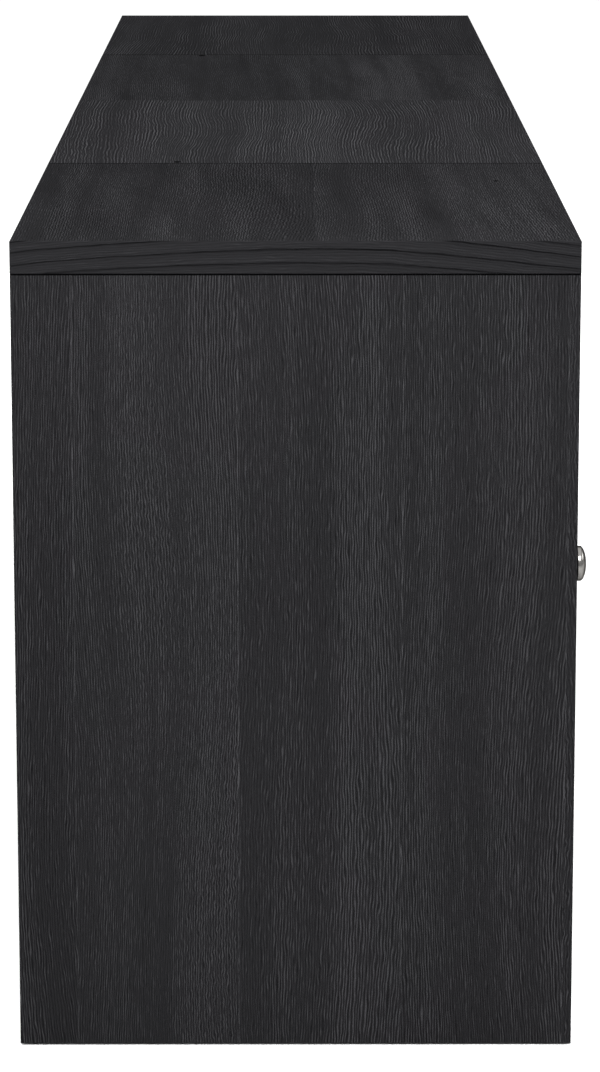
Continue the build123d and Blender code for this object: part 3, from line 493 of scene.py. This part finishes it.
# ------------------------------------------------------------------ boards of the carcass
UPRIGHT_TONE = -0.06
CARCASS_BOARDS = (  # nodes, materials, number of the first board, first leaf joint, tone
    (
        ("left_end_panel", "right_end_panel", "divider_1", "divider_2", "divider_3"),
        UPRIGHT,
        11,
        BACK - FIRST_LEAF_FROM_BACK,
        UPRIGHT_TONE,
    ),
    (
        ("bottom_panel", "front_rail", "rear_rail", "shelf_1", "shelf_2", "shelf_3", "shelf_4"),
        FLAT,
        20,
        0.0,
        0.0,
    ),
    (("front_plinth", "rear_plinth"), FLAT, 20, 0.0, 0.0),
    (("back_panel_left", "back_panel_right"), DOOR, 30, 0.0, 0.0),
)
FIRST_TOP_BOARD, FIRST_DOOR = 40, 50


def build_carcass():
    for nodes, materials, first, leaf_from, tone in CARCASS_BOARDS:
        for board, node in enumerate(nodes, first):
            oak_board(node, f"{node}_veneered", CARCASS, materials, board, leaf_from, tone=tone)


# face, first leaf joint, tone, then the place of its small knot across and along, and the knot's radius
TOP_BOARD_LOOKS = (
    (TOP_MOTTLED, -0.0025, -0.080, -0.180, -0.675, 0.0025),
    (TOP_RIPPLED, -1.0, 0.045, 0.135, -0.535, 0.0035),
    (TOP_MOTTLED, -0.0025, -0.035, 0.136, 0.494, 0.0045),
    (TOP_WIDE_RIPPLED, -1.0, -0.03, 0.0, 0.0, 0.0),
)


def build_top():
    """Four boards, mottled and rippled by turns, banded along their outer edges."""
    looks = zip(TOP_BOARDS, TOP_BOARD_LOOKS)
    for board, (node, (face, leaf_from, *rest)) in enumerate(looks, FIRST_TOP_BOARD):
        numbers = dict(zip(BOARD_NUMBERS[2:], rest))
        materials = (TOP_END, FLAT_EDGE, face)
        oak_board(node, f"{node}_veneered", CARCASS, materials, board, leaf_from, **numbers)


# ------------------------------------------------------------------ doors
def build_doors():
    for board, node in enumerate(DOORS, FIRST_DOOR):
        low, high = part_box(node)
        leaf_from = (low.x + high.x - LEAF_WIDTH) / 2
        oak_board(node, f"{node}_veneered", f"{node}_leaf", DOOR, board, leaf_from)


def lathe(shape, outline, centre, steps=96):
    """Turns an outline of (radius, distance along -Y) about a knob's axis."""
    rings = []
    for radius, out in outline:
        if radius == 0:
            rings.append([shape.verts.new(centre + Vector((0, -out, 0)))])
            continue
        turn = [math.tau * step / steps for step in range(steps)]
        ring = [Vector((radius * math.cos(a), -out, radius * math.sin(a))) for a in turn]
        rings.append([shape.verts.new(centre + point) for point in ring])
    for inner, outer in zip(rings, rings[1:]):
        for step in range(steps):
            after = (step + 1) % steps
            corners = [
                inner[step % len(inner)],
                inner[after % len(inner)],
                outer[after % len(outer)],
                outer[step % len(outer)],
            ]
            shape.faces.new(list(dict.fromkeys(corners)))
    bmesh.ops.recalc_face_normals(shape, faces=shape.faces)


def arc(centre, radius, start, end, steps):
    """Points on an arc, as (radius from the axis, distance out), angles in degrees."""
    angles = [math.radians(start + (end - start) * step / steps) for step in range(steps + 1)]
    return [(centre[0] + radius * math.cos(a), centre[1] + radius * math.sin(a)) for a in angles]


def knob_outline(head, out):
    """Foot, hollow neck, full rim and domed crown, from the door outwards."""
    foot, neck = 0.48 * head, 0.35 * head
    crown_rise, rim_depth = 0.37 * head, 0.20 * head
    foot_edge, foot_roll, foot_top = 0.0005, 0.0006, 0.0020
    flare_out, flare_from = 0.0016, 0.0080  # where the foot sweeps into the neck
    under_sweep, rim_roll = 0.0065, 0.0012
    rim_out = out - crown_rise
    underside = rim_out - rim_depth
    outline = [(0.0, 0.0), (foot - foot_edge, 0.0)]
    outline += arc((foot - foot_edge, foot_edge), foot_edge, -90, 0, 4)
    outline += arc((foot - foot_roll, foot_top), foot_roll, 0, 90, 5)
    outline += arc((foot + flare_out, flare_from), foot + flare_out - neck, 236, 180, 10)
    outline += arc((neck + under_sweep, underside - under_sweep), under_sweep, 180, 96, 12)
    outline += arc((head - rim_roll, underside + rim_roll), rim_roll, -80, 0, 6)
    turn = [math.radians(90 * step / 28) for step in range(28)]
    outline += [(head * math.cos(a), rim_out + crown_rise * math.sin(a)) for a in turn]
    return outline + [(0.0, out)]


def build_knobs():
    for door in DOORS:
        node = f"{door}_knob"
        low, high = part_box(node)
        centre = (low + high) / 2
        centre.y = high.y
        shape = bmesh.new()
        lathe(shape, knob_outline((high.z - low.z) / 2, high.y - low.y), centre)
        to_piece(f"{node}_turned", shape, [SATIN_NICKEL], f"{door}_leaf", "satin_nickel", node)


# ------------------------------------------------------------------ fasteners, by geometry nodes
def solids_in(node):
    """The corner points of each separate solid of a CAD node."""
    shape = bmesh.new()
    shape.from_mesh(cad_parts[node].data)
    bmesh.ops.remove_doubles(shape, verts=shape.verts, dist=MERGE_WITHIN)
    left, found = set(shape.verts), []
    while left:
        group, edge_of_search = set(), [next(iter(left))]
        while edge_of_search:
            corner = edge_of_search.pop()
            if corner in group:
                continue
            group.add(corner)
            edge_of_search += [edge.other_vert(corner) for edge in corner.link_edges]
        left -= group
        found.append([corner.co.copy() for corner in group])
    shape.free()
    middles = [sum(points, Vector()) / len(points) for points in found]
    order = sorted(range(len(found)), key=lambda i: tuple(round(v, 5) for v in middles[i]))
    return [found[i] for i in order]


def ends_of(points):
    """The axis that a long round solid lies along, and the middles of its low and high ends."""
    low = Vector([min(p[axis] for p in points) for axis in (X, Y, Z)])
    high = Vector([max(p[axis] for p in points) for axis in (X, Y, Z)])
    axis = max((X, Y, Z), key=lambda a: high[a] - low[a])
    low_end, high_end = (low + high) / 2, (low + high) / 2
    low_end[axis], high_end[axis] = low[axis], high[axis]
    return axis, low_end, high_end


def screw_places(node):
    """The middle of each screw's head and the way that it looks."""
    places = []
    for points in solids_in(node):
        axis, low_end, high_end = ends_of(points)
        wide = {}
        for end in (low_end, high_end):
            at_end = [p for p in points if abs(p[axis] - end[axis]) < AT_END]
            wide[end.freeze()] = max((p - end).length for p in at_end)
        head, tip = sorted(wide, key=wide.get, reverse=True)
        places.append((Vector(head), (head - tip).normalized()))
    return places


def fastener_tree(name, sizes, build_one, material, seed):
    """A tree that sets one fastener on every point, along its facing and turned by chance."""
    tree = bpy.data.node_groups.new(name, "GeometryNodeTree")
    tree.interface.new_socket("Places", in_out="INPUT", socket_type="NodeSocketGeometry")
    for label, size in sizes.items():
        socket = tree.interface.new_socket(label, in_out="INPUT", socket_type="NodeSocketFloat")
        socket.default_value = size
    tree.interface.new_socket("Fasteners", in_out="OUTPUT", socket_type="NodeSocketGeometry")
    given, made = tree.nodes.new("NodeGroupInput"), tree.nodes.new("NodeGroupOutput")
    one = build_one(tree, given.outputs)
    named = "GeometryNodeInputNamedAttribute"
    facing = add_node(tree, named, {"Name": "facing"}, data_type="FLOAT_VECTOR").outputs["Attribute"]
    look = add_node(tree, "FunctionNodeAlignRotationToVector", {"Vector": facing}, axis="Z")
    chance = add_node(tree, "FunctionNodeRandomValue", {"Seed": seed}, data_type="FLOAT")
    chance.inputs[3].default_value = math.tau
    twist = add_node(tree, "ShaderNodeCombineXYZ", {"Z": chance.outputs[1]})
    as_turn = add_node(tree, "FunctionNodeEulerToRotation", {"Euler": twist.outputs[0]})
    turned = add_node(
        tree,
        "FunctionNodeRotateRotation",
        {"Rotation": look.outputs[0], "Rotate By": as_turn.outputs[0]},
        rotation_space="LOCAL",
    )
    placed = add_node(
        tree,
        "GeometryNodeInstanceOnPoints",
        {"Points": given.outputs["Places"], "Instance": one, "Rotation": turned.outputs[0]},
    )
    real = add_node(tree, "GeometryNodeRealizeInstances", {"Geometry": placed.outputs[0]})
    paint = {"Geometry": real.outputs[0], "Material": material}
    painted = add_node(tree, "GeometryNodeSetMaterial", paint)
    tree.links.new(painted.outputs[0], made.inputs["Fasteners"])
    return tree


def lift(tree, geometry, height):
    """Moves geometry up its own Z."""
    offset = add_node(tree, "ShaderNodeCombineXYZ", {"Z": height}).outputs[0]
    inputs = {"Geometry": geometry, "Translation": offset}
    return add_node(tree, "GeometryNodeTransform", inputs).outputs[0]


def tapered(tree, low_radius, high_radius, height, sides=24):
    """A closed tapered round from its own Z = 0 upwards."""
    cone = add_node(
        tree,
        "GeometryNodeMeshCone",
        {"Vertices": sides, "Radius Bottom": low_radius, "Radius Top": high_radius, "Depth": height},
    )
    return cone.outputs["Mesh"]


CROSS_CUT = (1.15, 0.26)  # length and width of a driver slot, as shares of the head's radius


def one_screw(tree, size):
    """A countersunk screw with a cross recess, its head's flat face at Z = 0."""
    head_height = calc(tree, "SUBTRACT", size["Head Radius"], size["Shank Radius"])
    tip = calc(tree, "MULTIPLY", size["Shank Radius"], 2.0)
    straight = calc(tree, "SUBTRACT", calc(tree, "SUBTRACT", size["Length"], head_height), tip)
    down = calc(tree, "MULTIPLY", head_height, -1.0)
    head = lift(tree, tapered(tree, size["Shank Radius"], size["Head Radius"], head_height, 32), down)
    cuts = []
    for wide, narrow in (CROSS_CUT, CROSS_CUT[::-1]):
        extent = add_node(
            tree,
            "ShaderNodeCombineXYZ",
            {
                "X": calc(tree, "MULTIPLY", size["Head Radius"], wide),
                "Y": calc(tree, "MULTIPLY", size["Head Radius"], narrow),
                "Z": head_height,
            },
        )
        cuts.append(add_node(tree, "GeometryNodeMeshCube", {"Size": extent.outputs[0]}).outputs["Mesh"])
    boolean = "GeometryNodeMeshBoolean"
    cut = add_node(tree, boolean, {"Mesh 1": head}, operation="DIFFERENCE", solver="EXACT")
    for block in cuts:
        tree.links.new(block, cut.inputs["Mesh 2"])
    shank_down = calc(tree, "SUBTRACT", down, straight)
    shank = tapered(tree, size["Shank Radius"], size["Shank Radius"], straight, 16)
    shank = lift(tree, shank, shank_down)
    point = tapered(tree, 0.0, size["Shank Radius"], tip, 16)
    point = lift(tree, point, calc(tree, "SUBTRACT", shank_down, tip))
    joined = tree.nodes.new("GeometryNodeJoinGeometry")
    for piece in (cut.outputs["Mesh"], shank, point):
        tree.links.new(piece, joined.inputs["Geometry"])
    return joined.outputs["Geometry"]


def one_peg(tree, size):
    """A shelf peg with chamfered ends, centred on its length."""
    chamfer = calc(tree, "MULTIPLY", size["Radius"], 0.16)
    inner = calc(tree, "SUBTRACT", size["Radius"], chamfer)
    straight = calc(tree, "MULTIPLY_ADD", chamfer, -2.0, size["Length"])
    half = calc(tree, "MULTIPLY", size["Length"], 0.5)
    foot = tapered(tree, inner, size["Radius"], chamfer, 32)
    foot = lift(tree, foot, calc(tree, "MULTIPLY", half, -1.0))
    body_from = calc(tree, "SUBTRACT", chamfer, half)
    body = lift(tree, tapered(tree, size["Radius"], size["Radius"], straight, 32), body_from)
    tip = tapered(tree, size["Radius"], inner, chamfer, 32)
    tip = lift(tree, tip, calc(tree, "ADD", body_from, straight))
    joined = tree.nodes.new("GeometryNodeJoinGeometry")
    for piece in (foot, body, tip):
        tree.links.new(piece, joined.inputs["Geometry"])
    return joined.outputs["Geometry"]


def set_fasteners(name, tree, sizes, places, body, slot, *nodes):
    """Runs a fastener tree on its places and makes the result one plain mesh."""
    points = bpy.data.meshes.new(f"{name}_places")
    points.from_pydata([place for place, _ in places], [], [])
    layer = points.attributes.new("facing", "FLOAT_VECTOR", "POINT")
    layer.data.foreach_set("vector", [number for _, facing in places for number in facing])
    piece = bpy.data.objects.new(name, points)
    bpy.context.scene.collection.objects.link(piece)
    modifier = piece.modifiers.new("fasteners", "NODES")
    modifier.node_group = tree
    for socket in tree.interface.items_tree:
        if socket.in_out == "INPUT" and socket.name in sizes:
            modifier[socket.identifier] = sizes[socket.name]
    whole = bpy.data.meshes.new_from_object(piece.evaluated_get(bpy.context.evaluated_depsgraph_get()))
    piece.modifiers.clear()
    piece.data = whole
    bpy.data.meshes.remove(points)
    whole.name = name
    whole.shade_smooth()
    whole.set_sharp_from_angle(angle=math.radians(28))
    return settle(piece, body, slot, *nodes)


SMALL = {"Length": 0.016, "Shank Radius": 0.0015, "Head Radius": 0.0029}
CATCH = {"Length": 0.026, "Shank Radius": 0.0015, "Head Radius": 0.0029}
LONG = {"Length": 0.034, "Shank Radius": 0.002, "Head Radius": 0.0039}
KNOB_SCREW = {"Length": 0.032, "Shank Radius": 0.002, "Head Radius": 0.004}
PEG = {"Radius": 0.0025, "Length": 0.017}


ZINC_SLOT, DARK_STEEL_SLOT = "zinc_steel", "dark_bronze_steel"


def build_fasteners():
    zinc_screw = fastener_tree("zinc screw", SMALL, one_screw, ZINC_PLATE, seed=3)
    black_screw = fastener_tree("black screw", SMALL, one_screw, BLACK_OXIDE, seed=8)
    peg = fastener_tree("shelf peg", PEG, one_peg, ZINC_PLATE, seed=1)
    screws = [
        ("back_screws", zinc_screw, SMALL, CARCASS, ZINC_SLOT),
        ("top_screws", zinc_screw, LONG, CARCASS, ZINC_SLOT),
        ("divider_screws", zinc_screw, LONG, CARCASS, ZINC_SLOT),
        ("catch_screws", zinc_screw, CATCH, CARCASS, ZINC_SLOT),
        ("frame_leaf_screws", black_screw, SMALL, CARCASS, DARK_STEEL_SLOT),
    ]
    for door in DOORS:
        screws.append((f"{door}_screws", black_screw, SMALL, f"{door}_leaf", DARK_STEEL_SLOT))
        screws.append((f"{door}_knob_screw", zinc_screw, KNOB_SCREW, f"{door}_leaf", ZINC_SLOT))
    for node, tree, sizes, body, slot in screws:
        set_fasteners(f"{node}_set", tree, sizes, screw_places(node), body, slot, node)
    ends = [ends_of(points)[1:] for points in solids_in("shelf_pegs")]
    pegs = [((low + high) / 2, (high - low).normalized()) for low, high in ends]
    set_fasteners("shelf_pegs_set", peg, PEG, pegs, CARCASS, ZINC_SLOT, "shelf_pegs")


# ------------------------------------------------------------------ hinges, catches and glides
def small_part(node, name, material, body, slot, edge=0.0002, longer_than=0.004):
    """A small fitting in place of its CAD node, with its edges eased."""
    shape = merged_copy(node)
    ease_long_edges(shape, edge, longer_than)
    return to_piece(name, shape, [material], body, slot, node)


def build_fittings():
    for node, material, slot in (
        ("catch_housings", BLACK_PLASTIC, "dark_plastic"),
        ("catch_magnets", MAGNET_STEEL, "magnet"),
        ("frame_leaves", BLACK_OXIDE, DARK_STEEL_SLOT),
        ("pivot_washers", BLACK_NYLON, "nylon"),
        ("pivot_pins", BLACK_OXIDE, DARK_STEEL_SLOT),
        ("floor_glides", BLACK_NYLON, "nylon"),
    ):
        small_part(node, f"{node}_fitted", material, CARCASS, slot)
    for door in DOORS:
        body = f"{door}_leaf"
        small_part(f"{door}_leaves", f"{door}_leaves_fitted", BLACK_OXIDE, body, DARK_STEEL_SLOT)
        small_part(f"{door}_strike", f"{door}_strike_fitted", ZINC_PLATE, body, ZINC_SLOT)


def finish_hidden_joinery():
    """The CAD nodes that stay as they are, inside the boards."""
    for node, material in (
        ("top_splines", BEECH),
        ("dowels", BEECH),
        ("cam_bolts", ZINC_PLATE),
        ("cam_locks", ZINC_ALLOY),
    ):
        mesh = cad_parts[node].data
        mesh.materials.clear()
        mesh.materials.append(material)


# ------------------------------------------------------------------ studio
FLOOR_REACH = 30.0
HORIZON_LIGHT, OVERHEAD_LIGHT = 0.85, 1.10
LAMPS = (  # name, place, target, size, power in watts
    ("overhead", (0.2, 0.0, 3.6), (0.2, 0.0, 0.0), (5.0, 4.0), 84.0),
    ("end_side", (-2.15, -0.1, 1.85), (LEFT_END, 0.0, 0.60), (0.9, 0.9), 58.0),
    ("front_side", (-0.1, -3.3, 1.7), (0.0, FRONT, 0.4), (1.7, 1.3), 55.0),
    ("far_end_side", (2.9, 0.3, 1.8), (RIGHT_END, 0.0, 0.4), (1.2, 1.2), 22.0),
    ("rear_side", (-0.4, 3.3, 2.0), (0.0, BACK, 0.2), (3.0, 1.4), 45.0),
)


def build_floor():
    shape = bmesh.new()
    bmesh.ops.create_grid(shape, x_segments=1, y_segments=1, size=FLOOR_REACH)
    mesh = bpy.data.meshes.new("floor")
    shape.to_mesh(mesh)
    shape.free()
    floor = bpy.data.objects.new("floor", mesh)
    bpy.context.scene.collection.objects.link(floor)
    material, tree, surface = new_material("pale_floor")
    place = add_node(tree, "ShaderNodeTexCoord").outputs["Object"]
    tint(tree, surface, (1.0, 1.0, 1.0), fade(tree, plain_noise(tree, place, 3.0), 0.3, 0.7, 0.94, 0.96))
    surface.inputs["Roughness"].default_value = 0.85
    surface.inputs["Specular IOR Level"].default_value = 0.1
    mesh.materials.append(material)


def soft_light(name, place, target, size, power):
    """A wide rectangular lamp that faces a target."""
    lamp = bpy.data.lights.new(name, "AREA")
    lamp.shape = "RECTANGLE"
    lamp.size, lamp.size_y = size
    lamp.energy = power
    holder = bpy.data.objects.new(name, lamp)
    holder.location = place
    holder.rotation_euler = (Vector(target) - Vector(place)).to_track_quat("-Z", "Y").to_euler()
    bpy.context.scene.collection.objects.link(holder)


def build_studio():
    build_floor()
    world = bpy.data.worlds.new("studio")
    world.use_nodes = True
    tree = world.node_tree
    background = tree.nodes["Background"]
    place = add_node(tree, "ShaderNodeTexCoord").outputs["Generated"]
    up = add_node(tree, "ShaderNodeSeparateXYZ", {"Vector": place}).outputs["Z"]
    background.inputs["Color"].default_value = (1.0, 1.0, 1.0, 1.0)
    tree.links.new(fade(tree, up, 0.0, 0.5, HORIZON_LIGHT, OVERHEAD_LIGHT), background.inputs["Strength"])
    bpy.context.scene.world = world
    for lamp in LAMPS:
        soft_light(*lamp)
    bpy.context.scene.view_settings.view_transform = "Standard"


CAMERA_FROM_END, CAMERA_ASIDE, CAMERA_HEIGHT = 3.120, 0.001, 1.229
CAMERA_PITCH, CAMERA_YAW = math.radians(10.19), math.radians(0.09)
CAMERA_LENS, CAMERA_SENSOR, CAMERA_SHIFT = 121.5, 36.0, -0.2


def build_camera():
    """Stands beyond the left end and looks along the sideboard."""
    lens = bpy.data.cameras.new("camera")
    lens.lens = CAMERA_LENS
    lens.sensor_width = CAMERA_SENSOR
    lens.shift_y = CAMERA_SHIFT
    camera = bpy.data.objects.new("camera", lens)
    camera.location = (LEFT_END - CAMERA_FROM_END, (FRONT + BACK) / 2 + CAMERA_ASIDE, CAMERA_HEIGHT)
    camera.rotation_euler = (math.pi / 2 - CAMERA_PITCH, 0.0, -math.pi / 2 - CAMERA_YAW)
    bpy.context.scene.collection.objects.link(camera)
    bpy.context.scene.camera = camera


build_carcass()
build_top()
build_doors()
build_knobs()
build_fasteners()
build_fittings()
finish_hidden_joinery()
build_studio()
build_camera()
